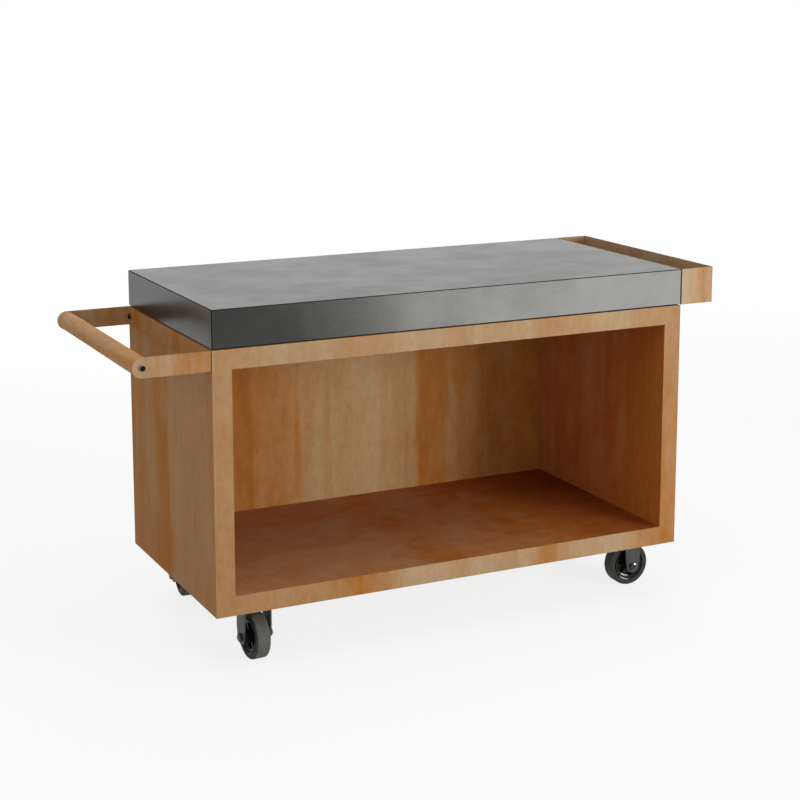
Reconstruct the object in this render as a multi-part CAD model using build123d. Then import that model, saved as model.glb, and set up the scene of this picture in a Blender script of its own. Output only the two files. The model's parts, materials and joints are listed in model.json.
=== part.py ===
from build123d import *
import math
import os

# Mobile prep table: weathering-steel cabinet on four swivel castors, a thick worktop of mitred
# panels, a push handle on the left end and a planter trough on the right end.
# Millimetres. X runs to the right along the open front, Y to the back, Z up.
# The origin is on the floor, under the middle of the table's outer box.

# Cabinet sizes
BODY_W = 1350.0
BODY_D = 650.0
BODY_H = 670.0
SHEET = 2.0
FRAME_FACE = 50.0
CHANNEL_SIDE_ROOM = 20.0

# Worktop sizes
SLAB_H = 95.0
PANEL_T = 12.0
MITRE_JOINT = 0.5
ARRIS = 2.0
SHADOW_GAP = 4.0
CORE_WALL = 3.0
CORE_FLANGE = 40.0
CORE_RIB_FROM_MIDDLE = 225.0
PAD_SIDE = 30.0
WORKTOP_BOLT_INSET_X = 150.0
ACCESS_HOLE_R = 12.5

# Push handle sizes
STRIP_T = 4.0
STRIP_H = 50.0
STRIP_BEND_R = 3.0
HANDLE_REACH = 173.0
BAR_R = 24.0
BAR_WALL = 3.0
PLUG_L = 15.0
STRIP_SCREW_INSET = 22.0

# Planter sizes
PLANTER_W = 100.0
PLANTER_H = 98.0
PLANTER_WALL = 3.0
PLANTER_GAP = 3.0
PLANTER_SCREW_PITCH = 220.0
PLANTER_SCREW_DROP = 36.0
SPACER_R = 10.0
DRAIN_R = 4.0
DRAIN_PITCH = 120.0
DRAIN_COUNT = 5

# Castor sizes
CASTOR_INSET_X = 125.0
CASTOR_INSET_FRONT = 135.0
CASTOR_INSET_REAR = 112.0
PLATE_EDGE = 12.5
PLATE_T = 4.0
PLATE_CORNER_R = 8.0
BOLT_PITCH_X = 80.0
BOLT_PITCH_Y = 60.0
TRAIL = 55.0
WHEEL_R = 60.0
TYRE_W = 37.0
TYRE_T = 19.0
TYRE_SHOULDER_R = 4.0
RIM_INSET = 2.0
RIM_RING_T = 5.0
RIM_WEB_T = 6.0
RIM_RIB_T = 4.0
RIM_RIB_INSET = 4.0
RIM_RIB_COUNT = 6
HUB_WALL = 8.0
HUB_SIDE_GAP = 0.5
SLEEVE_WALL = 3.0
AXLE_R = 6.0
AXLE_HEAD_AF = 19.0
AXLE_HEAD_H = 6.0
AXLE_NUT_H = 9.0
AXLE_END = 1.5
FORK_T = 4.0
FORK_SIDE_GAP = 15.5
FORK_TOP_GAP = 9.5
FORK_BEND_R = 4.0
FORK_LEG_W = 46.0
FORK_END_R = 19.0
FORK_TAPER_H = 26.0
CROWN_R = 40.0
RACE_UPPER_R = 31.0
RACE_UPPER_H = 6.0
RACE_LOWER_R = 25.0
RACE_LOWER_H = 6.2
KING_R = 6.0
KING_NUT_AF = 19.0
KING_NUT_H = 5.0

# Direction each castor trails at rest, in degrees from +X
CASTOR_YAW = {"fl": 274.0, "fr": 359.0, "rl": 88.0, "rr": 32.0}

# M8 fastener sizes
M8_R = 4.0
M8_AF = 13.0
M8_HEX_H = 5.3
M8_NUT_H = 6.5
M8_END = 2.5
BUTTON_R = 8.0
BUTTON_H = 5.0
BUTTON_ROUND = 2.0
SOCKET_AF = 6.0
SOCKET_DEPTH = 3.0

# Clearances
FIT = 0.05
RUN_GAP = 0.3
BOLT_HOLE_GAP = 0.5

# Levels and places that follow from the sizes
M8_HOLE_R = M8_R + BOLT_HOLE_GAP
CROWN_Z0 = 2 * WHEEL_R + FORK_TOP_GAP
CROWN_Z1 = CROWN_Z0 + FORK_T
RACE_Z0 = CROWN_Z1 + RUN_GAP
PLATE_Z0 = RACE_Z0 + RACE_LOWER_H + RACE_UPPER_H
CASTOR_H = PLATE_Z0 + PLATE_T
LEG_Y0 = TYRE_W / 2 + FORK_SIDE_GAP
LEG_Y1 = LEG_Y0 + FORK_T
RIM_R = WHEEL_R - TYRE_T
RIM_W = TYRE_W - 2 * RIM_INSET
RIM_RIB_W = RIM_W - 2 * RIM_RIB_INSET
SLEEVE_R = AXLE_R + SLEEVE_WALL
HUB_R = SLEEVE_R + HUB_WALL
PLATE_L = BOLT_PITCH_X + 2 * PLATE_EDGE
PLATE_W = BOLT_PITCH_Y + 2 * PLATE_EDGE
CHANNEL_W = BOLT_PITCH_Y + 2 * CHANNEL_SIDE_ROOM
BODY_Z0 = CASTOR_H
BODY_Z1 = BODY_Z0 + BODY_H
SLAB_Z0 = BODY_Z1 + SHADOW_GAP
SLAB_Z1 = SLAB_Z0 + SLAB_H
OVERALL_L = HANDLE_REACH + STRIP_H / 2 + BODY_W + PLANTER_GAP + PLANTER_W
BODY_X0 = -OVERALL_L / 2 + HANDLE_REACH + STRIP_H / 2
BODY_X1 = BODY_X0 + BODY_W
BODY_CX = (BODY_X0 + BODY_X1) / 2
BODY_Y0 = -BODY_D / 2
BODY_Y1 = BODY_D / 2
INNER_X0 = BODY_X0 + FRAME_FACE
INNER_X1 = BODY_X1 - FRAME_FACE
SHELF_Z = BODY_Z0 + FRAME_FACE
CEILING_Z = BODY_Z1 - FRAME_FACE
BAR_X = BODY_X0 - HANDLE_REACH
BAR_Z = BODY_Z1 - STRIP_H / 2
PLANTER_X0 = BODY_X1 + PLANTER_GAP
PLANTER_X1 = PLANTER_X0 + PLANTER_W
PLANTER_Z0 = SLAB_Z1 - PLANTER_H
PLANTER_SCREW_Z = SLAB_Z1 - PLANTER_SCREW_DROP
CASTOR_PLACE = {
    "fl": (BODY_X0 + CASTOR_INSET_X, BODY_Y0 + CASTOR_INSET_FRONT),
    "fr": (BODY_X1 - CASTOR_INSET_X, BODY_Y0 + CASTOR_INSET_FRONT),
    "rl": (BODY_X0 + CASTOR_INSET_X, BODY_Y1 - CASTOR_INSET_REAR),
    "rr": (BODY_X1 - CASTOR_INSET_X, BODY_Y1 - CASTOR_INSET_REAR),
}
WORKTOP_BOLT_PLACES = [
    (x, y)
    for x in (BODY_X0 + WORKTOP_BOLT_INSET_X, BODY_CX, BODY_X1 - WORKTOP_BOLT_INSET_X)
    for y in (BODY_Y0 + PANEL_T + CORE_FLANGE / 2, BODY_Y1 - PANEL_T - CORE_FLANGE / 2)
]
CASTOR_BOLT_PLACES = [
    (x + sx * BOLT_PITCH_X / 2, y + sy * BOLT_PITCH_Y / 2)
    for x, y in CASTOR_PLACE.values()
    for sx in (-1, 1)
    for sy in (-1, 1)
]
STRIP_SCREW_PLACES = [BODY_Y0 + STRIP_SCREW_INSET, BODY_Y1 - STRIP_SCREW_INSET]
PLANTER_SCREW_PLACES = [i * PLANTER_SCREW_PITCH for i in (-1, 0, 1)]

# How to turn a shape that runs along +Z so that it runs along another direction
ALONG = {
    "+x": Rot(0, 90, 0),
    "-x": Rot(0, -90, 0),
    "+y": Rot(-90, 0, 0),
    "-y": Rot(90, 0, 0),
    "+z": Rot(0, 0, 0),
}


def block(x0, x1, y0, y1, z0, z1):
    """Rectangular solid between two corners."""
    box = Box(x1 - x0, y1 - y0, z1 - z0, align=(Align.MIN, Align.MIN, Align.MIN))
    return Pos(x0, y0, z0) * box


def rod(radius, start, length, along="+z"):
    """Cylinder that starts at a point and runs along one direction."""
    cylinder = Cylinder(radius, length, align=(Align.CENTER, Align.CENTER, Align.MIN))
    return Pos(*start) * ALONG[along] * cylinder


def hexagon(across_flats, start, length, along="+z"):
    """Hexagonal prism that starts at a point and runs along one direction."""
    face = RegularPolygon(across_flats / 2, 6, major_radius=False)
    return Pos(*start) * ALONG[along] * extrude(face, length)


def group(solids):
    """Several like pieces kept as separate solids of one node."""
    return Compound(children=list(solids))


def drill(piece, radius, starts, length, along="+z"):
    """Cut the same round hole at each starting point."""
    for start in starts:
        piece = piece - rod(radius, start, length, along)
    return piece


# Fasteners

def hex_bolt(x, y, seat_z, shank):
    """M8 bolt with its hexagon head under the seat and its shank upwards."""
    head = hexagon(M8_AF, (x, y, seat_z - M8_HEX_H), M8_HEX_H)
    return head + rod(M8_R, (x, y, seat_z), shank)


def button_screw(seat, shank, outwards):
    """M8 socket screw: its head stands on the seat and faces outwards."""
    head = rod(BUTTON_R, (0, 0, 0), BUTTON_H)
    head = fillet(head.edges().group_by(Axis.Z)[-1], BUTTON_ROUND)
    head = head - hexagon(SOCKET_AF, (0, 0, BUTTON_H - SOCKET_DEPTH), SOCKET_DEPTH)
    screw = head + rod(M8_R, (0, 0, -shank), shank)
    return Pos(*seat) * ALONG[outwards] * screw


def m8_nut(start, along="+z"):
    """M8 nut that starts at a seat and stands along one direction."""
    nut = hexagon(M8_AF, start, M8_NUT_H, along)
    return nut - rod(M8_R + FIT, start, M8_NUT_H, along)


# Cabinet

def make_cabinet():
    """Front frame, outer walls, linings and floor stiffeners."""
    wall_y0 = BODY_Y0 + SHEET
    wall_y1 = BODY_Y1 - SHEET
    between_x0 = BODY_X0 + SHEET
    between_x1 = BODY_X1 - SHEET
    cabinet = {}

    frame = block(BODY_X0, BODY_X1, BODY_Y0, wall_y0, BODY_Z0, BODY_Z1)
    window = block(INNER_X0, INNER_X1, BODY_Y0, wall_y0, SHELF_Z, CEILING_Z)
    cabinet["front_frame"] = frame - window

    strip_holes = [(BODY_X0, y, BAR_Z) for y in STRIP_SCREW_PLACES]
    left_side = block(BODY_X0, between_x0, wall_y0, BODY_Y1, BODY_Z0, BODY_Z1)
    cabinet["left_side_panel"] = drill(left_side, M8_HOLE_R, strip_holes, SHEET, "+x")
    cabinet["right_side_panel"] = block(between_x1, BODY_X1, wall_y0, BODY_Y1, BODY_Z0, BODY_Z1)
    cabinet["back_panel"] = block(between_x0, between_x1, wall_y1, BODY_Y1, BODY_Z0, BODY_Z1)

    bottom = block(between_x0, between_x1, wall_y0, wall_y1, BODY_Z0, BODY_Z0 + SHEET)
    bottom_holes = [(x, y, BODY_Z0) for x, y in CASTOR_BOLT_PLACES]
    cabinet["bottom_panel"] = drill(bottom, M8_HOLE_R, bottom_holes, SHEET)
    deck = block(between_x0, between_x1, wall_y0, wall_y1, BODY_Z1 - SHEET, BODY_Z1)
    deck_holes = [(x, y, BODY_Z1 - SHEET) for x, y in WORKTOP_BOLT_PLACES]
    cabinet["top_deck"] = drill(deck, M8_HOLE_R, deck_holes, SHEET)

    lining_z0 = BODY_Z0 + SHEET
    lining_z1 = BODY_Z1 - SHEET
    cabinet["left_lining"] = block(INNER_X0 - SHEET, INNER_X0, wall_y0, wall_y1, lining_z0, lining_z1)
    cabinet["right_lining"] = block(INNER_X1, INNER_X1 + SHEET, wall_y0, wall_y1, lining_z0, lining_z1)
    cabinet["shelf_floor"] = block(INNER_X0, INNER_X1, wall_y0, wall_y1, SHELF_Z - SHEET, SHELF_Z)
    ceiling = block(INNER_X0, INNER_X1, wall_y0, wall_y1, CEILING_Z, CEILING_Z + SHEET)
    access_holes = [(x, y, CEILING_Z) for x, y in WORKTOP_BOLT_PLACES]
    cabinet["ceiling_lining"] = drill(ceiling, ACCESS_HOLE_R, access_holes, SHEET)

    cabinet["front_floor_channel"] = floor_channel(BODY_Y0 + CASTOR_INSET_FRONT)
    cabinet["rear_floor_channel"] = floor_channel(BODY_Y1 - CASTOR_INSET_REAR)
    return cabinet


def floor_channel(middle_y):
    """U channel under the shelf, with its web on the bottom panel over two castors."""
    z0 = BODY_Z0 + SHEET
    z1 = SHELF_Z - SHEET
    half = CHANNEL_W / 2
    channel = block(INNER_X0, INNER_X1, middle_y - half, middle_y + half, z0, z1)
    inside = half - SHEET
    channel = channel - block(INNER_X0, INNER_X1, middle_y - inside, middle_y + inside, z0 + SHEET, z1)
    holes = [(x, y, z0) for x, y in CASTOR_BOLT_PLACES if abs(y - middle_y) < half]
    return drill(channel, M8_HOLE_R, holes, SHEET)


# Worktop

def mitred_edge(length):
    """Edge panel with its outer face on the XZ plane and mitres on its top and both ends."""
    step = MITRE_JOINT / math.sqrt(2)
    profile = Plane.YZ * make_face(
        Polyline(
            (0, 0),
            (0, SLAB_H - step),
            (PANEL_T, SLAB_H - PANEL_T - step),
            (PANEL_T, 0),
            close=True,
        )
    )
    panel = Pos(-length / 2, 0, 0) * extrude(profile, length)
    for side in (-1, 1):
        mitre = Plane(origin=(side * (length / 2 - step), 0, 0), z_dir=(side, 1, 0))
        panel = split(panel, bisect_by=mitre, keep=Keep.BOTTOM)
    return panel


def make_worktop():
    """Mitred panels round a steel frame, on pads that leave the shadow gap."""
    step = MITRE_JOINT / math.sqrt(2)
    envelope = block(BODY_X0, BODY_X1, BODY_Y0, BODY_Y1, SLAB_Z0, SLAB_Z1)
    upright = envelope.edges().filter_by(Axis.Z)
    rim = envelope.edges().group_by(Axis.Z)[-1]
    envelope = chamfer(upright + rim, ARRIS)

    top_face = Rectangle(BODY_W - 2 * step, BODY_D - 2 * step)
    top = Pos(BODY_CX, 0, SLAB_Z1) * extrude(top_face, -PANEL_T, taper=45)
    front = Pos(BODY_CX, BODY_Y0, SLAB_Z0) * mitred_edge(BODY_W)
    rear = Pos(BODY_CX, BODY_Y1, SLAB_Z0) * Rot(0, 0, 180) * mitred_edge(BODY_W)
    left = Pos(BODY_X0, 0, SLAB_Z0) * Rot(0, 0, -90) * mitred_edge(BODY_D)
    right = Pos(BODY_X1, 0, SLAB_Z0) * Rot(0, 0, 90) * mitred_edge(BODY_D)
    planter_holes = [(BODY_X1 - PANEL_T, y, PLANTER_SCREW_Z) for y in PLANTER_SCREW_PLACES]
    right = drill(right, M8_HOLE_R, planter_holes, PANEL_T, "+x")

    pad_half = PAD_SIDE / 2
    pads = []
    bolts = []
    bolt_length = SHEET + SHADOW_GAP + CORE_WALL + M8_NUT_H + M8_END
    for x, y in WORKTOP_BOLT_PLACES:
        pad = block(x - pad_half, x + pad_half, y - pad_half, y + pad_half, BODY_Z1, SLAB_Z0)
        pads.append(pad - rod(M8_HOLE_R, (x, y, BODY_Z1), SHADOW_GAP))
        bolts.append(hex_bolt(x, y, BODY_Z1 - SHEET, bolt_length))

    return {
        "worktop_panel": top & envelope,
        "worktop_front_edge": front & envelope,
        "worktop_rear_edge": rear & envelope,
        "worktop_left_edge": left & envelope,
        "worktop_right_edge": right & envelope,
        "worktop_frame": worktop_frame(),
        "worktop_pads": group(pads),
        "worktop_bolts": group(bolts),
    }


def worktop_frame():
    """Ring of inward C channel with two cross ribs, filling the space under the panels."""
    x0 = BODY_X0 + PANEL_T
    x1 = BODY_X1 - PANEL_T
    y0 = BODY_Y0 + PANEL_T
    y1 = BODY_Y1 - PANEL_T
    z0 = SLAB_Z0
    z1 = SLAB_Z1 - PANEL_T
    wall = CORE_WALL
    flange = CORE_FLANGE
    ring = block(x0, x1, y0, y1, z0, z1)
    ring = ring - block(x0 + wall, x1 - wall, y0 + wall, y1 - wall, z0 + wall, z1 - wall)
    ring = ring - block(x0 + flange, x1 - flange, y0 + flange, y1 - flange, z0, z1)
    for side in (-1, 1):
        rib_x = BODY_CX + side * CORE_RIB_FROM_MIDDLE
        rib = block(rib_x - wall / 2, rib_x + wall / 2, y0 + wall, y1 - wall, z0 + wall, z1 - wall)
        ring = ring + rib
    ring = drill(ring, M8_HOLE_R, [(x, y, z0) for x, y in WORKTOP_BOLT_PLACES], wall)
    web_holes = [(x1 - wall, y, PLANTER_SCREW_Z) for y in PLANTER_SCREW_PLACES]
    return drill(ring, M8_HOLE_R, web_holes, wall, "+x")


# Push handle

def make_handle():
    """Folded U strip, round bar between its arms, plugs and screws."""
    end_r = STRIP_H / 2
    z0 = BODY_Z1 - STRIP_H
    arm_x0 = BAR_X - end_r
    strip = block(arm_x0, BODY_X0, BODY_Y0, BODY_Y1, z0, BODY_Z1)
    strip = strip - block(arm_x0, BODY_X0 - STRIP_T, BODY_Y0 + STRIP_T, BODY_Y1 - STRIP_T, z0, BODY_Z1)
    inner_folds = strip.edges().filter_by(Axis.Z).group_by(Axis.X)[-2]
    strip = fillet(inner_folds, STRIP_BEND_R)
    outer_folds = strip.edges().filter_by(Axis.Z).group_by(Axis.X)[-1]
    strip = fillet(outer_folds, STRIP_BEND_R + STRIP_T)
    outline = block(BAR_X, BODY_X0, BODY_Y0, BODY_Y1, z0, BODY_Z1)
    outline = outline + rod(end_r, (BAR_X, BODY_Y0, BAR_Z), BODY_D, "+y")
    strip = strip & outline
    strip = strip - rod(M8_HOLE_R, (BAR_X, BODY_Y0, BAR_Z), BODY_D, "+y")
    strip_holes = [(BODY_X0 - STRIP_T, y, BAR_Z) for y in STRIP_SCREW_PLACES]
    strip = drill(strip, M8_HOLE_R, strip_holes, STRIP_T, "+x")

    bar_y0 = BODY_Y0 + STRIP_T
    bar_y1 = BODY_Y1 - STRIP_T
    bar_l = bar_y1 - bar_y0
    bar = rod(BAR_R, (BAR_X, bar_y0, BAR_Z), bar_l, "+y")
    bar = bar - rod(BAR_R - BAR_WALL, (BAR_X, bar_y0, BAR_Z), bar_l, "+y")

    plugs = []
    for start_y in (bar_y0, bar_y1 - PLUG_L):
        plug = rod(BAR_R - BAR_WALL - FIT, (BAR_X, start_y, BAR_Z), PLUG_L, "+y")
        plugs.append(plug - rod(M8_R + FIT, (BAR_X, start_y, BAR_Z), PLUG_L, "+y"))

    bar_shank = STRIP_T + PLUG_L - M8_END
    bar_screws = [
        button_screw((BAR_X, BODY_Y0, BAR_Z), bar_shank, "-y"),
        button_screw((BAR_X, BODY_Y1, BAR_Z), bar_shank, "+y"),
    ]
    strip_shank = STRIP_T + SHEET + M8_NUT_H + M8_END
    strip_screws = [
        button_screw((BODY_X0 - STRIP_T, y, BAR_Z), strip_shank, "-x") for y in STRIP_SCREW_PLACES
    ]
    return {
        "handle_bracket": strip,
        "handle_bar": bar,
        "handle_end_plugs": group(plugs),
        "handle_bar_screws": group(bar_screws),
        "handle_bracket_screws": group(strip_screws),
    }


# Planter

def make_planter():
    """Open trough bolted through the worktop's right edge, with spacers and screws."""
    x0 = PLANTER_X0
    x1 = PLANTER_X1
    trough = block(x0, x1, BODY_Y0, BODY_Y1, PLANTER_Z0, SLAB_Z1)
    wall = PLANTER_WALL
    trough = trough - block(
        x0 + wall, x1 - wall, BODY_Y0 + wall, BODY_Y1 - wall, PLANTER_Z0 + wall, SLAB_Z1
    )
    wall_holes = [(x0, y, PLANTER_SCREW_Z) for y in PLANTER_SCREW_PLACES]
    trough = drill(trough, M8_HOLE_R, wall_holes, wall, "+x")
    drain_x = (x0 + x1) / 2
    first_y = -DRAIN_PITCH * (DRAIN_COUNT - 1) / 2
    drains = [(drain_x, first_y + i * DRAIN_PITCH, PLANTER_Z0) for i in range(DRAIN_COUNT)]
    trough = drill(trough, DRAIN_R, drains, wall)

    spacers = []
    screws = []
    shank = wall + PLANTER_GAP + PANEL_T + CORE_WALL + M8_NUT_H + M8_END
    for y in PLANTER_SCREW_PLACES:
        spacer = rod(SPACER_R, (BODY_X1, y, PLANTER_SCREW_Z), PLANTER_GAP, "+x")
        spacers.append(spacer - rod(M8_HOLE_R, (BODY_X1, y, PLANTER_SCREW_Z), PLANTER_GAP, "+x"))
        screws.append(button_screw((x0 + wall, y, PLANTER_SCREW_Z), shank, "+x"))
    return {
        "planter_trough": trough,
        "planter_spacers": group(spacers),
        "planter_screws": group(screws),
    }


# Castors: each is made with its swivel axis on Z, trailing towards +X, standing on Z = 0

def castor_plate():
    """Mounting plate with four bolt holes and the king pin's hole."""
    plate = block(-PLATE_L / 2, PLATE_L / 2, -PLATE_W / 2, PLATE_W / 2, PLATE_Z0, CASTOR_H)
    plate = fillet(plate.edges().filter_by(Axis.Z), PLATE_CORNER_R)
    holes = [
        (sx * BOLT_PITCH_X / 2, sy * BOLT_PITCH_Y / 2, PLATE_Z0) for sx in (-1, 1) for sy in (-1, 1)
    ]
    plate = drill(plate, M8_HOLE_R, holes, PLATE_T)
    return plate - rod(KING_R + FIT, (0, 0, PLATE_Z0), PLATE_T)


def castor_race():
    """Closed ball race under the plate, stepped in towards the fork."""
    race = rod(RACE_LOWER_R, (0, 0, RACE_Z0), RACE_LOWER_H)
    race = race + rod(RACE_UPPER_R, (0, 0, RACE_Z0 + RACE_LOWER_H), RACE_UPPER_H)
    return race - rod(KING_R + FIT, (0, 0, RACE_Z0), PLATE_Z0 - RACE_Z0)


def castor_king_pin():
    """Pin from the plate down through the fork's crown, with a nut face below it."""
    nut_z1 = CROWN_Z0 - RUN_GAP
    pin = rod(KING_R, (0, 0, nut_z1), CASTOR_H - nut_z1)
    return pin + hexagon(KING_NUT_AF, (0, 0, nut_z1 - KING_NUT_H), KING_NUT_H)


def castor_fork():
    """Pressed fork: a crown that turns on the king pin and two legs beside the wheel."""
    end_z = WHEEL_R - FORK_END_R
    front_x = -CROWN_R
    back_x = TRAIL + FORK_LEG_W / 2
    fork = block(front_x, back_x, -LEG_Y1, LEG_Y1, end_z, CROWN_Z1)
    fork = fillet(fork.edges().filter_by(Axis.X).group_by(Axis.Z)[-1], FORK_BEND_R + FORK_T)
    inside = block(front_x, back_x, -LEG_Y0, LEG_Y0, end_z, CROWN_Z0)
    inside = fillet(inside.edges().filter_by(Axis.X).group_by(Axis.Z)[-1], FORK_BEND_R)
    fork = fork - inside

    leg_x0 = TRAIL - FORK_LEG_W / 2
    taper_z = WHEEL_R + FORK_TAPER_H
    crown_edge_z = CROWN_Z0 - FORK_BEND_R
    shoulder = block(leg_x0, back_x, -LEG_Y1, LEG_Y1, taper_z, CROWN_Z1)
    strip = block(front_x, back_x, -LEG_Y1, LEG_Y1, crown_edge_z, CROWN_Z1)
    taper_face = Plane.XZ * make_face(
        Polyline(
            (leg_x0, taper_z),
            (back_x, taper_z),
            (TRAIL + FORK_END_R, WHEEL_R),
            (TRAIL - FORK_END_R, WHEEL_R),
            close=True,
        )
    )
    taper = extrude(taper_face, LEG_Y1, both=True)
    round_end = rod(FORK_END_R, (TRAIL, -LEG_Y1, WHEEL_R), 2 * LEG_Y1, "+y")
    fork = fork & (shoulder + strip + taper + round_end)

    plan = rod(CROWN_R, (0, 0, end_z), CROWN_Z1 - end_z)
    plan = plan + block(0, back_x, -LEG_Y1, LEG_Y1, end_z, CROWN_Z1)
    fork = fork & plan
    fork = fork - rod(KING_R + FIT, (0, 0, CROWN_Z0), FORK_T)
    return fork - rod(AXLE_R + FIT, (TRAIL, -LEG_Y1, WHEEL_R), 2 * LEG_Y1, "+y")


def castor_axle():
    """Axle bolt, its nut and the sleeve that the hub turns on."""
    head_y = -LEG_Y1 - AXLE_HEAD_H
    shank_l = 2 * LEG_Y1 + AXLE_NUT_H + AXLE_END
    bolt = hexagon(AXLE_HEAD_AF, (TRAIL, head_y, WHEEL_R), AXLE_HEAD_H, "+y")
    bolt = bolt + rod(AXLE_R, (TRAIL, -LEG_Y1, WHEEL_R), shank_l, "+y")
    nut = hexagon(AXLE_HEAD_AF, (TRAIL, LEG_Y1, WHEEL_R), AXLE_NUT_H, "+y")
    nut = nut - rod(AXLE_R + FIT, (TRAIL, LEG_Y1, WHEEL_R), AXLE_NUT_H, "+y")
    sleeve = rod(SLEEVE_R, (TRAIL, -LEG_Y0, WHEEL_R), 2 * LEG_Y0, "+y")
    sleeve = sleeve - rod(AXLE_R + FIT, (TRAIL, -LEG_Y0, WHEEL_R), 2 * LEG_Y0, "+y")
    return group([bolt, nut, sleeve])


def wheel_disc(radius, width):
    """Cylinder on the wheel's axis, centred in the wheel."""
    return rod(radius, (TRAIL, -width / 2, WHEEL_R), width, "+y")


def castor_rim():
    """Wheel centre: hub, web, ribs and the ring that carries the tyre."""
    ring_inner_r = RIM_R - RIM_RING_T
    rim = wheel_disc(RIM_R, RIM_W) - wheel_disc(ring_inner_r, RIM_W)
    rim = rim + wheel_disc(ring_inner_r, RIM_WEB_T)
    hub_w = 2 * (LEG_Y0 - HUB_SIDE_GAP)
    rim = rim + wheel_disc(HUB_R, hub_w)
    rib = block(0, ring_inner_r, -RIM_RIB_W / 2, RIM_RIB_W / 2, -RIM_RIB_T / 2, RIM_RIB_T / 2)
    for i in range(RIM_RIB_COUNT):
        rim = rim + Pos(TRAIL, 0, WHEEL_R) * Rot(0, i * 360 / RIM_RIB_COUNT, 0) * rib
    return rim - wheel_disc(SLEEVE_R + FIT, hub_w)


def castor_tyre():
    """Rubber ring with rounded shoulders."""
    tyre = wheel_disc(WHEEL_R, TYRE_W)
    tyre = fillet(tyre.edges().filter_by(GeomType.CIRCLE), TYRE_SHOULDER_R)
    return tyre - wheel_disc(RIM_R + FIT, TYRE_W)


def make_castors():
    """Four castors at their places, each trailing its own way."""
    castors = {}
    for corner, (x, y) in CASTOR_PLACE.items():
        fixed = Pos(x, y, 0)
        turned = fixed * Rot(0, 0, CASTOR_YAW[corner])
        castors[f"castor_{corner}_plate"] = fixed * castor_plate()
        castors[f"castor_{corner}_race"] = fixed * castor_race()
        castors[f"castor_{corner}_king_pin"] = fixed * castor_king_pin()
        castors[f"castor_{corner}_fork"] = turned * castor_fork()
        castors[f"castor_{corner}_axle"] = turned * castor_axle()
        castors[f"castor_{corner}_rim"] = turned * castor_rim()
        castors[f"castor_{corner}_tyre"] = turned * castor_tyre()
    bolt_length = PLATE_T + 2 * SHEET + M8_NUT_H + M8_END
    bolts = [hex_bolt(x, y, PLATE_Z0, bolt_length) for x, y in CASTOR_BOLT_PLACES]
    castors["castor_bolts"] = group(bolts)
    return castors


def make_nuts():
    """All hidden M8 nuts: castors, worktop, handle strip and planter."""
    nuts = [m8_nut((x, y, BODY_Z0 + 2 * SHEET)) for x, y in CASTOR_BOLT_PLACES]
    nuts += [m8_nut((x, y, SLAB_Z0 + CORE_WALL)) for x, y in WORKTOP_BOLT_PLACES]
    nuts += [m8_nut((BODY_X0 + SHEET, y, BAR_Z), "+x") for y in STRIP_SCREW_PLACES]
    core_face_x = BODY_X1 - PANEL_T - CORE_WALL
    nuts += [m8_nut((core_face_x, y, PLANTER_SCREW_Z), "-x") for y in PLANTER_SCREW_PLACES]
    return {"m8_nuts": group(nuts)}


nodes = make_cabinet() | make_worktop() | make_handle() | make_planter() | make_castors() | make_nuts()

os.makedirs("parts", exist_ok=True)
for name, shape in nodes.items():
    export_step(shape, f"parts/{name}.step")
print(len(nodes), "nodes written")
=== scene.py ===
"""Looks of the mobile prep table: materials, small details, studio light and camera."""
import json
import math

import bpy
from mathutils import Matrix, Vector

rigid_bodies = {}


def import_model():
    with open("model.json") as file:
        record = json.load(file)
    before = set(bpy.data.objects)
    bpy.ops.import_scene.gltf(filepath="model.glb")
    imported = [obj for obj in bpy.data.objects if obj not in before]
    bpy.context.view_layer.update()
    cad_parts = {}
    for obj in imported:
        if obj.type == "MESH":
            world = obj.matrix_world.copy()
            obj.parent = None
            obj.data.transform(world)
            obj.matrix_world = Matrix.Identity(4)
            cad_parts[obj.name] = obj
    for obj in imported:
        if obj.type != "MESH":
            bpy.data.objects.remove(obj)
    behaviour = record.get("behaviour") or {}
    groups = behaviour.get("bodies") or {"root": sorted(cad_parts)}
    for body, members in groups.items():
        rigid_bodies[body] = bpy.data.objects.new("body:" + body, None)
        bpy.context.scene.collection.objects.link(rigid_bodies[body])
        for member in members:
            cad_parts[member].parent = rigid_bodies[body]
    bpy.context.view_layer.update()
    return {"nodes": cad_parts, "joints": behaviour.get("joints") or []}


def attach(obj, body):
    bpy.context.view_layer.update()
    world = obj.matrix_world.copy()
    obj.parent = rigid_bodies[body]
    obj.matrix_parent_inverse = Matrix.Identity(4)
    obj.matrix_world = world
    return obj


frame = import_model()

SCENE = bpy.context.scene
NODES = frame["nodes"]


# Colour helpers

def srgb(red, green, blue):
    """Screen colour, 0 to 255, as the linear colour that shaders take."""
    linear = []
    for level in (red, green, blue):
        share = level / 255
        if share <= 0.04045:
            linear.append(share / 12.92)
        else:
            linear.append(((share + 0.055) / 1.055) ** 2.4)
    return (*linear, 1.0)


STEEL_TAN = srgb(180, 152, 119)
STEEL_ORANGE = srgb(166, 106, 44)
# Richer rust for the inner sheets: partly the rust's own colour, partly painted orange bounce light from the
# cabinet's inside
STEEL_RUST_AND_BOUNCE = srgb(162, 93, 36)
STEEL_DARK = srgb(112, 68, 36)
# Deep rust colour, which also serves as painted shade where an orange share climbs past 1
STEEL_DEEP_RUST_AND_SHADE = srgb(132, 62, 22)
STEEL_PALE = srgb(192, 164, 130)
PLANTER_TAN = srgb(182, 156, 125)
BACK_TAN = srgb(176, 153, 115)
STONE_DARK = srgb(22, 21, 19)
STONE_LIGHT = srgb(31, 30, 27)
STONE_VEIN = srgb(44, 43, 38)
STONE_TINT = (0.99, 1.0, 0.955, 1.0)
SCREW_BLACK = srgb(13, 13, 14)
TYRE_SIDE = srgb(50, 50, 46)
TYRE_TREAD = srgb(92, 93, 88)
TYRE_RECESS_SHADE = srgb(14, 14, 13)


# Shader building

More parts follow.
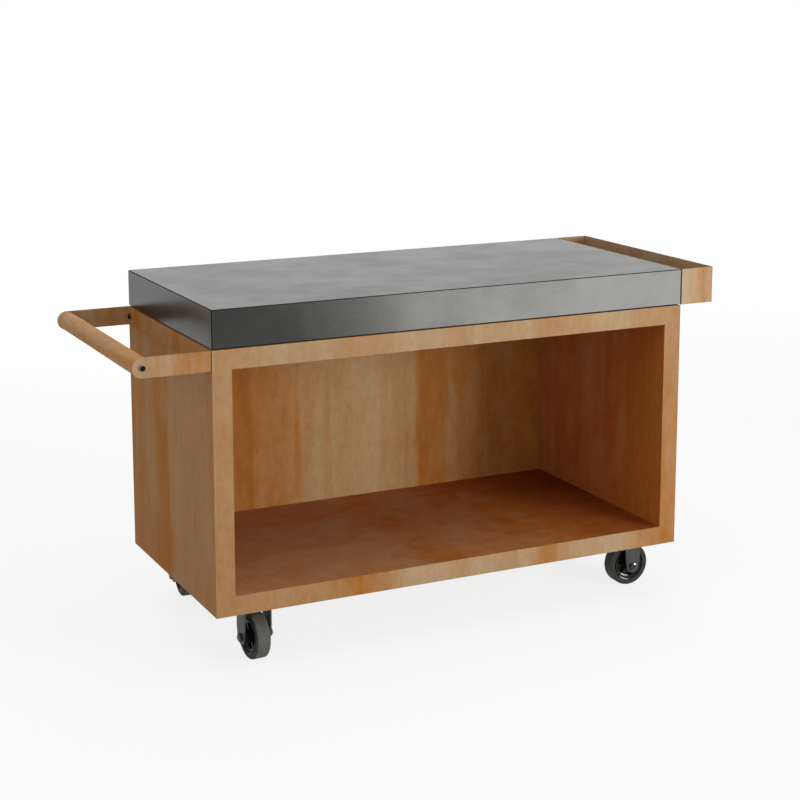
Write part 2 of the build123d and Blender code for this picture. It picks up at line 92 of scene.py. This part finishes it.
class Shader:
    """One material, with short calls that add and link its nodes."""

    def __init__(self, name):
        self.material = bpy.data.materials.new(name)
        self.material.use_nodes = True
        self.tree = self.material.node_tree
        self.surface = self.tree.nodes["Principled BSDF"]
        self.place = self.add("TexCoord").outputs["Object"]

    def add(self, kind, inputs=None, **settings):
        """New node of a kind, with settings and inputs by name or number."""
        node = self.tree.nodes.new("ShaderNode" + kind)
        for name, value in settings.items():
            setattr(node, name, value)
        for key, value in (inputs or {}).items():
            self.feed(node.inputs[key], value)
        return node

    def feed(self, socket, value):
        """Links a socket to an output, or sets its plain value."""
        if isinstance(value, bpy.types.NodeSocket):
            self.tree.links.new(value, socket)
        else:
            socket.default_value = value

    def set(self, **values):
        """Feeds the surface's sockets; underscores stand for spaces."""
        for name, value in values.items():
            self.feed(self.surface.inputs[name.replace("_", " ")], value)

    def stretched(self, stretch, offset=(0.0, 0.0, 0.0)):
        """Object coordinates, scaled per axis and shifted."""
        node = self.add("Mapping", {"Vector": self.place, "Scale": stretch, "Location": offset})
        return node.outputs[0]

    def noise(self, scale, stretch=(1, 1, 1), offset=(0, 0, 0), detail=2.0, rough=0.5):
        """Noise value, about 0.3 to 0.7."""
        inputs = {
            "Vector": self.stretched(stretch, offset),
            "Scale": scale,
            "Detail": detail,
            "Roughness": rough,
        }
        return self.add("TexNoise", inputs).outputs["Fac"]

    def remap(self, value, low, high, to_low=0.0, to_high=1.0):
        """Value moved from one range to another, clamped and eased."""
        inputs = {
            "Value": value,
            "From Min": low,
            "From Max": high,
            "To Min": to_low,
            "To Max": to_high,
        }
        return self.add("MapRange", inputs, interpolation_type="SMOOTHSTEP").outputs[0]

    def math(self, operation, first, second=0.0):
        """One arithmetic step on two values."""
        return self.add("Math", {0: first, 1: second}, operation=operation).outputs[0]

    def axis(self, letter):
        """One object coordinate."""
        return self.add("SeparateXYZ", {0: self.place}).outputs[letter]

    def mix(self, factor, first, second, blend="MIX"):
        """Two colours mixed by a factor."""
        inputs = {"Factor": factor, 6: first, 7: second}
        node = self.add("Mix", inputs, data_type="RGBA", blend_type=blend)
        return node.outputs[2]

    def shade(self, color, value):
        """Colour times a grey value."""
        grey = self.add("CombineColor", {0: value, 1: value, 2: value}).outputs[0]
        return self.mix(1.0, color, grey, "MULTIPLY")

    def bump(self, height, strength, distance):
        """Surface relief from a height value."""
        inputs = {"Height": height, "Strength": strength, "Distance": distance}
        self.set(Normal=self.add("Bump", inputs).outputs[0])


def band_share(shader, letter, bands, waver):
    """Orange share across a panel: listed soft bands whose edges waver, in metres."""
    low = bands[0][0]
    high = bands[-1][0]
    wander = shader.noise(22.0, (1, 1, 0.3), (2.1, 0.4, 0.7), 5.0, 0.6)
    drift = shader.math("MULTIPLY", shader.math("SUBTRACT", wander, 0.5), waver)
    where = shader.math("ADD", shader.axis(letter), drift)
    share = shader.add("MapRange", {"Value": where, "From Min": low, "From Max": high})
    ramp = shader.add("ValToRGB", {0: share.outputs[0]}, label="orange bands")
    ramp.color_ramp.interpolation = "EASE"
    stops = ramp.color_ramp.elements
    stops[0].position = 0.0
    stops[1].position = 1.0
    for place, _ in bands[1:-1]:
        stops.new((place - low) / (high - low))
    for stop, (_, share_here) in zip(stops, bands):
        stop.color = (share_here, share_here, share_here, 1.0)
    return ramp.outputs[0]


# Materials

# Stretch of streaks and patches along the axis that they run
STREAK = 0.06
PATCH = 0.40

# Levels of the cabinet's top and bottom, in metres
BODY_TOP = 0.82
BODY_BOTTOM = 0.15

# Radii between which the tyre turns into tread, and into a darker ring round the wheel's centre that is
# painted shade of its recess, in metres
TREAD_FROM = 0.0576
TREAD_FULL = 0.0592
RECESS_SHADE_FROM = 0.0462
RECESS_SHADE_FULL = 0.0448

# Refraction of the steel skin and the stone
SURFACE_IOR = 1.45


def along(run, stretch):
    """Scale per axis that draws a pattern out along one axis."""
    return tuple(stretch if axis == run else 1.0 for axis in "xyz")


def weathering_steel(
    name, run, letter, bands, shift,
    tan=STEEL_TAN, rust=STEEL_ORANGE, tone=1.0, bottom_rust_and_shade=0.0, contrast=1.0, waver=0.06, fine=1.0, rim=0.0,
):
    """Rust skin with streaks and patches; an orange share from 1 to 2 goes to the deep rust colour, which also
    serves as painted shade where bands climb past 1.

    run is the axis that the streaks follow and letter the one that the bands lie across. shift moves the
    pattern, tone scales its brightness, the bottom setting deepens the orange low down (partly the rust's own
    colour, partly painted shade where the light falls off), contrast the strength of its marks, waver the
    bends of the bands, fine the closeness of the marks and rim the darkness of upward cut edges.
    """
    shader = Shader(name)
    offset = (shift, 1.7 * shift, 0.6 * shift)
    streak = along(run, STREAK)
    patchy = along(run, PATCH)
    # Soft tan and orange bands, deeper orange towards the bottom: partly the rust's own colour, partly painted
    # shade where the light falls off low down
    share = band_share(shader, letter, bands, waver)
    low_rust_and_shade = shader.remap(shader.axis("Z"), BODY_TOP, BODY_BOTTOM, 0.0, bottom_rust_and_shade)
    richer = shader.math("MULTIPLY", low_rust_and_shade, shader.math("MULTIPLY", share, share))
    share = shader.math("ADD", share, richer)
    # Ragged patches, wide runs and runs with a crisp edge
    patch = shader.noise(19.0 * fine, patchy, offset, 5.0, 0.62)
    broad = shader.noise(6.0 * fine, streak, offset, 2.0)
    crisp = shader.noise(7.0 * fine, streak, (offset[1], offset[2], offset[0]), 4.0, 0.50)
    ragged = shader.remap(patch, 0.30, 0.68, 1.0 - 0.16 * contrast, 1.0 + 0.14 * contrast)
    share = shader.math("MULTIPLY", share, ragged)
    share = shader.math("ADD", share, shader.remap(broad, 0.34, 0.70, -0.10 * contrast, 0.10 * contrast))
    share = shader.math("ADD", share, shader.remap(crisp, 0.52, 0.54, -0.08 * contrast, 0.08 * contrast))
    share = shader.math("ADD", share, shader.remap(patch, 0.60, 0.76, 0.0, 0.18 * contrast))
    # Shares past 1 go to the deep rust colour, partly painted shade
    deep = shader.math("SUBTRACT", share, 1.0)
    color = shader.mix(shader.add("Clamp", {0: share}).outputs[0], tan, rust)
    color = shader.mix(shader.add("Clamp", {0: deep}).outputs[0], color, STEEL_DEEP_RUST_AND_SHADE)
    # Narrow runs, darker and paler
    runs = shader.noise(26.0 * fine, streak, offset, 2.0, 0.50)
    color = shader.mix(shader.remap(runs, 0.56, 0.80, 0.0, 0.12 * contrast), color, STEEL_DARK)
    color = shader.mix(shader.remap(runs, 0.46, 0.26, 0.0, 0.10 * contrast), color, STEEL_PALE)
    # Mottling, sparse flecks and fine grain
    mottle = shader.noise(75.0, along(run, 0.55), offset, 4.0, 0.6)
    flecks = shader.noise(300.0, patchy, offset, 1.0)
    grain = shader.noise(900.0, (1, 1, 1), offset, 2.0)
    color = shader.mix(shader.remap(flecks, 0.66, 0.80, 0.0, 0.30 * contrast), color, STEEL_PALE)
    color = shader.mix(shader.remap(flecks, 0.30, 0.18, 0.0, 0.35 * contrast), color, STEEL_DARK)
    level = shader.remap(mottle, 0.30, 0.70, 0.93 * tone, 1.07 * tone)
    level = shader.math("MULTIPLY", level, shader.remap(grain, 0.25, 0.75, 0.97, 1.03))
    # Faint fine lines, clearer on the wide runs
    lines = shader.noise(80.0 * fine, along(run, 0.10), offset, 3.0, 0.6)
    lined = shader.remap(broad, 0.48, 0.64, 0.10, 0.30 * contrast)
    ripple = shader.math("MULTIPLY", shader.math("SUBTRACT", lines, 0.5), lined)
    level = shader.math("MULTIPLY", level, shader.math("ADD", ripple, 1.0))
    # Cut edges that face upwards
    normal = shader.add("NewGeometry").outputs["True Normal"]
    upward = shader.add("SeparateXYZ", {0: normal}).outputs["Z"]
    color = shader.mix(shader.remap(upward, 0.70, 0.90, 0.0, rim), color, STEEL_DARK)
    shader.set(Base_Color=shader.shade(color, level))
    shader.set(Roughness=shader.remap(mottle, 0.3, 0.7, 0.66, 0.82))
    shader.set(IOR=SURFACE_IOR, Specular_IOR_Level=0.15)
    shader.bump(shader.math("ADD", grain, mottle), 0.15, 0.0006)
    return shader.material


def ceramic(name, specular=0.5):
    """Dark honed stoneware with soft clouds and darker arrises."""
    shader = Shader(name)
    clouds = shader.noise(7.0, (1, 1, 1), (3.0, 1.0, 0.0), 5.0, 0.62)
    veins = shader.noise(28.0, (1, 1, 1), (0.5, 2.0, 1.0), 6.0, 0.65)
    speck = shader.noise(420.0, (1, 1, 1), (0, 0, 0), 2.0)
    base = shader.mix(shader.remap(clouds, 0.32, 0.68), STONE_DARK, STONE_LIGHT)
    base = shader.mix(shader.remap(veins, 0.52, 0.70, 0.0, 0.35), base, STONE_VEIN)
    level = shader.remap(speck, 0.3, 0.7, 0.94, 1.05)
    # The small bevels between faces stay darker
    normal = shader.add("NewGeometry").outputs["True Normal"]
    spread = shader.add("VectorMath", {0: normal}, operation="ABSOLUTE").outputs[0]
    parts = shader.add("SeparateXYZ", {0: spread}).outputs
    largest = shader.math("MAXIMUM", shader.math("MAXIMUM", parts[0], parts[1]), parts[2])
    flat = shader.remap(largest, 0.85, 0.95)
    shader.set(Base_Color=shader.shade(base, shader.math("MULTIPLY", level, flat)))
    gloss = shader.remap(clouds, 0.30, 0.70, 0.79, 0.71)
    shader.set(Roughness=shader.math("SUBTRACT", 1.0, shader.math("MULTIPLY", gloss, flat)))
    shader.set(IOR=SURFACE_IOR, Specular_IOR_Level=specular, Specular_Tint=STONE_TINT)
    shader.bump(shader.math("ADD", veins, speck), 0.05, 0.0006)
    return shader.material


def satin(name, dark, pale, rough, metallic=0.0, scale=60.0, relief=0.1, specular=0.5):
    """Coated, plated or moulded surface: two close tones, fine relief."""
    shader = Shader(name)
    broad = shader.noise(scale, (1, 1, 1), (1.3, 0.2, 0.6), 4.0, 0.6)
    fine = shader.noise(scale * 14, (1, 1, 1), (0, 0, 0), 2.0)
    color = shader.mix(shader.remap(broad, 0.32, 0.68), dark, pale)
    shader.set(Base_Color=shader.shade(color, shader.remap(fine, 0.3, 0.7, 0.93, 1.06)))
    shader.set(Roughness=shader.remap(broad, 0.3, 0.7, rough - 0.06, rough + 0.06))
    shader.set(Metallic=metallic, Specular_IOR_Level=specular)
    shader.bump(fine, relief, 0.0003)
    return shader.material


def socket_screw(name, letter, wear_and_highlight):
    """Black screw with a socket; its rounded edge is paler, partly uncoated steel and partly a painted
    highlight; its head faces along one axis.
    """
    shader = Shader(name)
    normal = shader.add("NewGeometry").outputs["True Normal"]
    facing = shader.math("ABSOLUTE", shader.add("SeparateXYZ", {0: normal}).outputs[letter])
    # Rounded edge paler: partly uncoated steel, partly a painted highlight
    wear_and_highlight_edge = shader.remap(facing, 0.97, 0.80)
    fine = shader.noise(1800.0)
    color = shader.mix(wear_and_highlight_edge, SCREW_BLACK, wear_and_highlight)
    shader.set(Base_Color=shader.shade(color, shader.remap(fine, 0.3, 0.7, 0.92, 1.06)))
    shader.set(Roughness=shader.remap(fine, 0.3, 0.7, 0.26, 0.36))
    shader.set(Metallic=0.8)
    return shader.material


def tyre_rubber(name, spin):
    """Moulded rubber: a paler tread, dark side walls, and a darker ring at the wheel's centre that is painted
    shade of the recess.
    """
    shader = Shader(name)
    middle = Vector(spin["pos_m"])
    axle = Vector(spin["axis"]).normalized()
    arm = shader.add("VectorMath", {0: shader.place, 1: middle}, operation="SUBTRACT").outputs[0]
    reach = shader.add("VectorMath", {0: arm, 1: axle}, operation="CROSS_PRODUCT").outputs[0]
    radius = shader.add("VectorMath", {0: reach}, operation="LENGTH").outputs["Value"]
    tread = shader.remap(radius, TREAD_FROM, TREAD_FULL)
    # The darker ring round the wheel's centre is painted shade of the recess
    recess_shade = shader.remap(radius, RECESS_SHADE_FROM, RECESS_SHADE_FULL)
    broad = shader.noise(60.0, (1, 1, 1), (1.3, 0.2, 0.6), 4.0, 0.6)
    fine = shader.noise(840.0, (1, 1, 1), (0, 0, 0), 2.0)
    color = shader.mix(tread, TYRE_SIDE, TYRE_TREAD)
    color = shader.mix(recess_shade, color, TYRE_RECESS_SHADE)
    level = shader.remap(broad, 0.32, 0.68, 0.88, 1.12)
    level = shader.math("MULTIPLY", level, shader.remap(fine, 0.3, 0.7, 0.93, 1.06))
    shader.set(Base_Color=shader.shade(color, level))
    shader.set(Roughness=shader.remap(broad, 0.3, 0.7, 0.64, 0.76))
    shader.set(Specular_IOR_Level=0.20)
    shader.bump(fine, 0.2, 0.0003)
    return shader.material


# Orange share across each panel, as (place in metres, share)
FRONT_BANDS = (
    (-0.63, 0.38), (-0.36, 0.39), (-0.25, 0.59), (-0.19, 0.54), (-0.07, 0.22), (0.22, 0.19), (0.31, 0.52),
    (0.40, 0.20), (0.54, 0.16), (0.63, 0.54), (0.73, 0.54),
)
# At the back wall's right end the share climbs past 1: darker, richer orange that is partly painted shade and
# orange bounce light where the right wall shades it
BACK_BANDS_AND_BOUNCE = (
    (-0.63, 0.80), (-0.38, 0.90), (-0.29, 1.12), (-0.24, 0.88), (-0.14, 0.84), (-0.12, 0.50), (0.05, 0.40),
    (0.235, 0.54), (0.262, 1.06), (0.37, 0.70), (0.50, 1.06), (0.73, 1.50),
)
LEFT_BANDS = ((-0.33, 0.66), (-0.03, 0.63), (0.055, 0.98), (0.10, 0.92), (0.21, 0.66), (0.33, 0.68))
RIGHT_BANDS = ((-0.33, 0.94), (-0.10, 1.00), (0.12, 0.88), (0.33, 0.92))
# On the flat sheets the share climbs past 1 at the right end: a darker deep rust that is painted shadow of the
# right wall and stile on the shelf floor
FLOOR_BANDS_AND_SHADOW = (
    (-0.63, 0.64), (-0.09, 0.70), (0.02, 0.95), (0.12, 0.78), (0.35, 0.96), (0.55, 1.50), (0.65, 2.00),
)
PLANTER_BANDS = ((0.72, 0.00), (0.76, 0.04), (0.80, 0.52), (0.815, 0.34))
HANDLE_BANDS = ((-0.83, 0.38), (-0.74, 0.36), (-0.71, 0.68), (-0.67, 0.84), (-0.645, 0.66), (-0.63, 0.90))
BAR_BANDS = ((-0.33, 0.80), (-0.26, 0.66), (0.0, 0.56), (0.26, 0.58), (0.33, 0.70))

FRONT_STEEL = weathering_steel("steel_front", "z", "X", FRONT_BANDS, 0.0, tone=0.95, bottom_rust_and_shade=1.1)
BACK_STEEL = weathering_steel(
    "steel_back", "z", "X", BACK_BANDS_AND_BOUNCE, 0.37, tan=BACK_TAN, tone=1.05, waver=0.03,
)
LEFT_STEEL = weathering_steel("steel_left", "z", "Y", LEFT_BANDS, 0.81, tone=1.06, bottom_rust_and_shade=0.12)
# The inner right wall is brighter and richer than the other sheets: painted bounce light on a wall that sits
# in shade
RIGHT_RUST_AND_BOUNCE = weathering_steel(
    "steel_right_rust_and_bounce", "z", "Y", RIGHT_BANDS, 1.23, rust=STEEL_RUST_AND_BOUNCE, tone=1.24, contrast=0.6,
)
FLAT_STEEL = weathering_steel("steel_flat", "none", "X", FLOOR_BANDS_AND_SHADOW, 1.61, rust=STEEL_RUST_AND_BOUNCE, contrast=0.6)
PLANTER_STEEL = weathering_steel(
    "steel_planter", "z", "X", PLANTER_BANDS, 2.05, tan=PLANTER_TAN, waver=0.02, fine=1.5, rim=0.9,
)
HANDLE_STEEL = weathering_steel("steel_handle", "z", "X", HANDLE_BANDS, 2.47, waver=0.02, fine=2.0)
BAR_STEEL = weathering_steel("steel_bar", "y", "Y", BAR_BANDS, 2.93, tone=1.26, contrast=1.2, fine=4.0)
CERAMIC = ceramic("ceramic_slab")
# The slab's left end mirrors less than the rest of the slab: painted shade on its reflection
CERAMIC_DIMMED_END = ceramic("ceramic_dimmed_end", 0.34)
GALVANISED = satin("galvanised", srgb(128, 131, 132), srgb(160, 163, 164), 0.42, 0.85, 45.0)
RUBBER_PAD = satin("pad_rubber", srgb(24, 24, 24), srgb(34, 34, 33), 0.80, 0.0, 90.0)
SPACER = satin("spacer_plastic", srgb(30, 30, 30), srgb(40, 40, 39), 0.55, 0.0, 90.0)
# The bar screws' pale rounded edge is partly uncoated steel and partly a painted highlight
BAR_SCREW = socket_screw("bar_screw", "Y", srgb(150, 148, 142))
SIDE_SCREW = socket_screw("side_screw", "X", srgb(38, 38, 37))
ZINC = satin("zinc", srgb(165, 168, 170), srgb(190, 192, 192), 0.30, 0.95, 120.0)
CASTOR_PAINT = satin("castor_paint", srgb(50, 53, 50), srgb(60, 63, 60), 0.42, 0.0, 70.0, 0.15, 0.35)
CASTOR_AXLE = satin("castor_axle", srgb(72, 74, 72), srgb(90, 92, 89), 0.30, 0.95, 140.0)
AXLE_CAP = satin("axle_cap", srgb(58, 60, 58), srgb(72, 74, 71), 0.20, 0.95, 140.0, 0.02)
CASTOR_RIM = satin("castor_rim", srgb(18, 18, 17), srgb(26, 26, 24), 0.38, 0.0, 80.0, 0.10, 0.22)
CASTOR_LIP = satin("castor_lip", srgb(8, 8, 8), srgb(13, 13, 12), 0.16, 0.0, 80.0, 0.02, 0.10)

FINISH = {
    "front_frame": FRONT_STEEL,
    "left_side_panel": LEFT_STEEL,
    "right_side_panel": LEFT_STEEL,
    "back_panel": BACK_STEEL,
    "bottom_panel": FLAT_STEEL,
    "top_deck": FLAT_STEEL,
    "left_lining": LEFT_STEEL,
    "right_lining": RIGHT_RUST_AND_BOUNCE,
    "shelf_floor": FLAT_STEEL,
    "ceiling_lining": FLAT_STEEL,
    "front_floor_channel": GALVANISED,
    "rear_floor_channel": GALVANISED,
    "worktop_panel": CERAMIC,
    "worktop_front_edge": CERAMIC,
    "worktop_rear_edge": CERAMIC,
    "worktop_left_edge": CERAMIC_DIMMED_END,
    "worktop_right_edge": CERAMIC,
    "worktop_frame": GALVANISED,
    "worktop_pads": RUBBER_PAD,
    "worktop_bolts": ZINC,
    "handle_bracket": HANDLE_STEEL,
    "handle_bar": BAR_STEEL,
    "handle_end_plugs": GALVANISED,
    "handle_bar_screws": BAR_SCREW,
    "handle_bracket_screws": SIDE_SCREW,
    "planter_trough": PLANTER_STEEL,
    "planter_spacers": SPACER,
    "planter_screws": SIDE_SCREW,
    "castor_bolts": ZINC,
    "m8_nuts": ZINC,
}
CASTOR_FINISH = {
    "plate": CASTOR_PAINT,
    "race": CASTOR_PAINT,
    "king_pin": ZINC,
    "fork": CASTOR_PAINT,
    "axle": CASTOR_AXLE,
    "rim": CASTOR_RIM,
}
SPINS = {joint["child"][-2:]: joint for joint in frame["joints"] if joint["name"].endswith("_spin")}
for corner, spin in SPINS.items():
    for piece, finish in CASTOR_FINISH.items():
        FINISH[f"castor_{corner}_{piece}"] = finish
    FINISH[f"castor_{corner}_tyre"] = tyre_rubber(f"tyre_{corner}", spin)

for node_name, node in NODES.items():
    node.data.materials.clear()
    node.data.materials.append(FINISH[node_name])


# Added pieces

# Facets round a turned piece
TURN_STEPS = 160

# Turned profiles, as (radius, distance from the wheel's middle plane), in metres
RIM_LIPS = {
    "outer": ((0.0450, 0.0180), (0.0450, 0.0198), (0.0446, 0.0200), (0.0424, 0.0186), (0.0424, 0.0180)),
    "inner": ((0.0358, 0.0120), (0.0358, 0.0144), (0.0354, 0.0145), (0.0330, 0.0129), (0.0330, 0.0120)),
}
HEAD_CAP = ((0.0092, 0.0436), (0.0092, 0.0441), (0.0070, 0.0456), (0.0020, 0.0456), (0.0020, 0.0436))
NUT_CAP = ((0.0092, 0.0466), (0.0092, 0.0471), (0.0072, 0.0485), (0.0063, 0.0485), (0.0063, 0.0466))


def new_piece(name, points, faces, finish, body):
    """Mesh piece that takes a finish and rides on a body."""
    mesh = bpy.data.meshes.new(name)
    mesh.from_pydata(points, [], faces)
    mesh.materials.append(finish)
    mesh.update()
    piece = bpy.data.objects.new(name, mesh)
    SCENE.collection.objects.link(piece)
    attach(piece, body)
    return piece


def turned(name, profile, middle, axis, finish, body):
    """Ring whose closed profile, as (radius, distance along the axis), is turned round an axis."""
    axis = Vector(axis).normalized()
    level = axis.cross(Vector((0.0, 0.0, 1.0)))
    upright = level.cross(axis)
    points = []
    faces = []
    count = len(profile)
    for step in range(TURN_STEPS):
        angle = 2 * math.pi * step / TURN_STEPS
        outwards = level * math.cos(angle) + upright * math.sin(angle)
        points += [Vector(middle) + outwards * radius + axis * distance for radius, distance in profile]
        here = step * count
        there = (step + 1) % TURN_STEPS * count
        for corner in range(count):
            after = (corner + 1) % count
            faces.append((here + corner, here + after, there + after, there + corner))
    return new_piece(name, points, faces, finish, body)


def castor_details():
    """Dished lips on both faces of each wheel centre, and chamfered caps on its axle's head and nut."""
    pieces = []
    for spin in SPINS.values():
        wheel = spin["child"]
        fork = spin["parent"]
        middle = spin["pos_m"]
        head_way = [-part for part in spin["axis"]]
        nut_way = list(spin["axis"])
        for lip, profile in RIM_LIPS.items():
            for side, way in (("head", head_way), ("nut", nut_way)):
                name = f"{wheel}_{lip}_lip_{side}"
                pieces.append(turned(name, profile, middle, way, CASTOR_LIP, wheel))
        for cap, profile, way in (("head", HEAD_CAP, head_way), ("nut", NUT_CAP, nut_way)):
            name = f"{fork}_{cap}_cap"
            pieces.append(turned(name, profile, middle, way, AXLE_CAP, fork))
    return pieces


CASTOR_DETAILS = castor_details()


# Studio

FLOOR_STEPS = 96
FLOOR_R = 9.0
FLOOR_CLEAR = 2.2
FLOOR_FADE = 5.0
FLOOR_PAINT = (0.95, 0.95, 0.95, 1.0)
FLOOR_BOUNCE = (0.50, 0.50, 0.50, 1.0)
FLOOR_LIFT = 0.82
AMBIENT = 0.25
GLINT_ROLL = math.radians(-41.5)


def look_at(obj, place, target):
    """Puts a light or camera at a place and turns it to a target."""
    obj.location = place
    obj.rotation_euler = (Vector(target) - Vector(place)).to_track_quat("-Z", "Y").to_euler()


def area_light(name, place, target, width, height, radiance):
    """Soft box of a given size and brightness that cameras don't see."""
    lamp = bpy.data.lights.new(name, "AREA")
    lamp.shape = "RECTANGLE"
    lamp.size = width
    lamp.size_y = height
    lamp.energy = radiance * math.pi * width * height
    obj = bpy.data.objects.new(name, lamp)
    obj.visible_camera = False
    look_at(obj, place, target)
    SCENE.collection.objects.link(obj)
    return obj


def seen_share(tree):
    """1 for rays from the camera, reflections and glass, 0 for rays that only carry light."""
    path = tree.nodes.new("ShaderNodeLightPath")
    seen = path.outputs["Is Camera Ray"]
    for name in ("Is Glossy Ray", "Is Transmission Ray"):
        either = tree.nodes.new("ShaderNodeMath")
        either.operation = "MAXIMUM"
        tree.links.new(seen, either.inputs[0])
        tree.links.new(path.outputs[name], either.inputs[1])
        seen = either.outputs[0]
    return seen


def make_floor():
    """Pale floor disc that fades out into the white surroundings."""
    angles = [2 * math.pi * step / FLOOR_STEPS for step in range(FLOOR_STEPS)]
    rim = [(FLOOR_R * math.cos(angle), FLOOR_R * math.sin(angle), 0.0) for angle in angles]
    mesh = bpy.data.meshes.new("studio_floor")
    mesh.from_pydata(rim, [], [range(FLOOR_STEPS)])
    floor = bpy.data.objects.new("studio_floor", mesh)
    SCENE.collection.objects.link(floor)
    shader = Shader("floor_white")
    tree = shader.tree
    seen = seen_share(tree)
    tint = shader.mix(seen, FLOOR_BOUNCE, FLOOR_PAINT)
    paint = shader.add("BsdfDiffuse", {"Color": tint}).outputs[0]
    white = shader.add("Emission", {"Strength": 1.0}).outputs[0]
    lift = shader.math("MULTIPLY", seen, FLOOR_LIFT)
    near = shader.add("MixShader", {0: lift, 1: paint, 2: white}).outputs[0]
    clear = shader.add("BsdfTransparent").outputs[0]
    distance = shader.add("VectorMath", {0: shader.place}, operation="LENGTH").outputs["Value"]
    fade = shader.remap(distance, FLOOR_CLEAR, FLOOR_FADE)
    blend = shader.add("MixShader", {0: fade, 1: near, 2: clear}).outputs[0]
    tree.links.new(blend, tree.nodes["Material Output"].inputs["Surface"])
    mesh.materials.append(shader.material)


def make_world():
    """White to cameras and reflections, dimmer as fill light."""
    world = bpy.data.worlds.new("studio_air")
    SCENE.world = world
    world.use_nodes = True
    tree = world.node_tree
    strength = tree.nodes.new("ShaderNodeMapRange")
    strength.inputs["To Min"].default_value = AMBIENT
    tree.links.new(seen_share(tree), strength.inputs["Value"])
    background = tree.nodes["Background"]
    background.inputs["Color"].default_value = (1.0, 1.0, 1.0, 1.0)
    tree.links.new(strength.outputs[0], background.inputs["Strength"])


make_floor()
make_world()

# Soft boxes that light the surfaces but don't mirror in them
key = area_light("key_right", (2.90, -4.45, 1.25), (0.1, -0.3, 0.50), 2.2, 2.2, 10.6)
side_fill = area_light("fill_side", (-3.4, -5.0, 1.3), (0.0, 0.0, 0.5), 3.0, 2.4, 1.55)
front_fill = area_light("fill_front", (0.2, -6.0, 0.9), (0.0, 0.0, 0.5), 3.0, 1.6, 1.30)
rear_fill = area_light("fill_rear", (1.2, 4.8, 1.6), (0.0, 0.0, 0.5), 3.2, 2.4, 4.0)
left_fill = area_light("fill_end", (-4.2, -0.7, 1.8), (-0.6, 0.0, 0.4), 2.0, 2.0, 1.40)
for lamp in (key, side_fill, front_fill, rear_fill, left_fill):
    lamp.visible_glossy = False

# Cards that only mirror: one in the slab's front, one in the castors' bright edges
card = area_light("slab_card", (1.79, -2.405, 0.49), (1.18, -0.50, 0.49), 1.74, 0.78, 10.2)
glint = area_light("rim_glint", (2.83, -1.40, 1.25), (0.6, -0.25, 0.04), 2.0, 0.35, 75.0)
glint.rotation_euler.rotate_axis("Z", GLINT_ROLL)
for lamp in (card, glint):
    lamp.visible_diffuse = False
bright_edges = bpy.data.collections.new("bright_edges")
for piece in CASTOR_DETAILS:
    bright_edges.objects.link(piece)
glint.light_linking.receiver_collection = bright_edges

# Overhead soft box, which lights and mirrors
area_light("top_soft", (0.2, -0.6, 4.2), (0.1, 0.0, 0.0), 4.5, 4.5, 1.30)


# Camera at the photograph's place

CAMERA_PLACE = (-2.0101, -4.1503, 1.6862)
CAMERA_YAW = math.radians(26.20)
CAMERA_PITCH = math.radians(9.75)
SENSOR_MM = 36.0
LENS_MM = 78.08
LENS_SHIFT = -0.15

lens = bpy.data.cameras.new("photo_camera")
lens.sensor_width = SENSOR_MM
lens.lens = LENS_MM
lens.shift_y = LENS_SHIFT
camera = bpy.data.objects.new("photo_camera", lens)
SCENE.collection.objects.link(camera)
ahead = Vector((
    math.sin(CAMERA_YAW) * math.cos(CAMERA_PITCH),
    math.cos(CAMERA_YAW) * math.cos(CAMERA_PITCH),
    -math.sin(CAMERA_PITCH),
))
look_at(camera, CAMERA_PLACE, Vector(CAMERA_PLACE) + ahead)
SCENE.camera = camera
SCENE.view_settings.view_transform = "Standard"
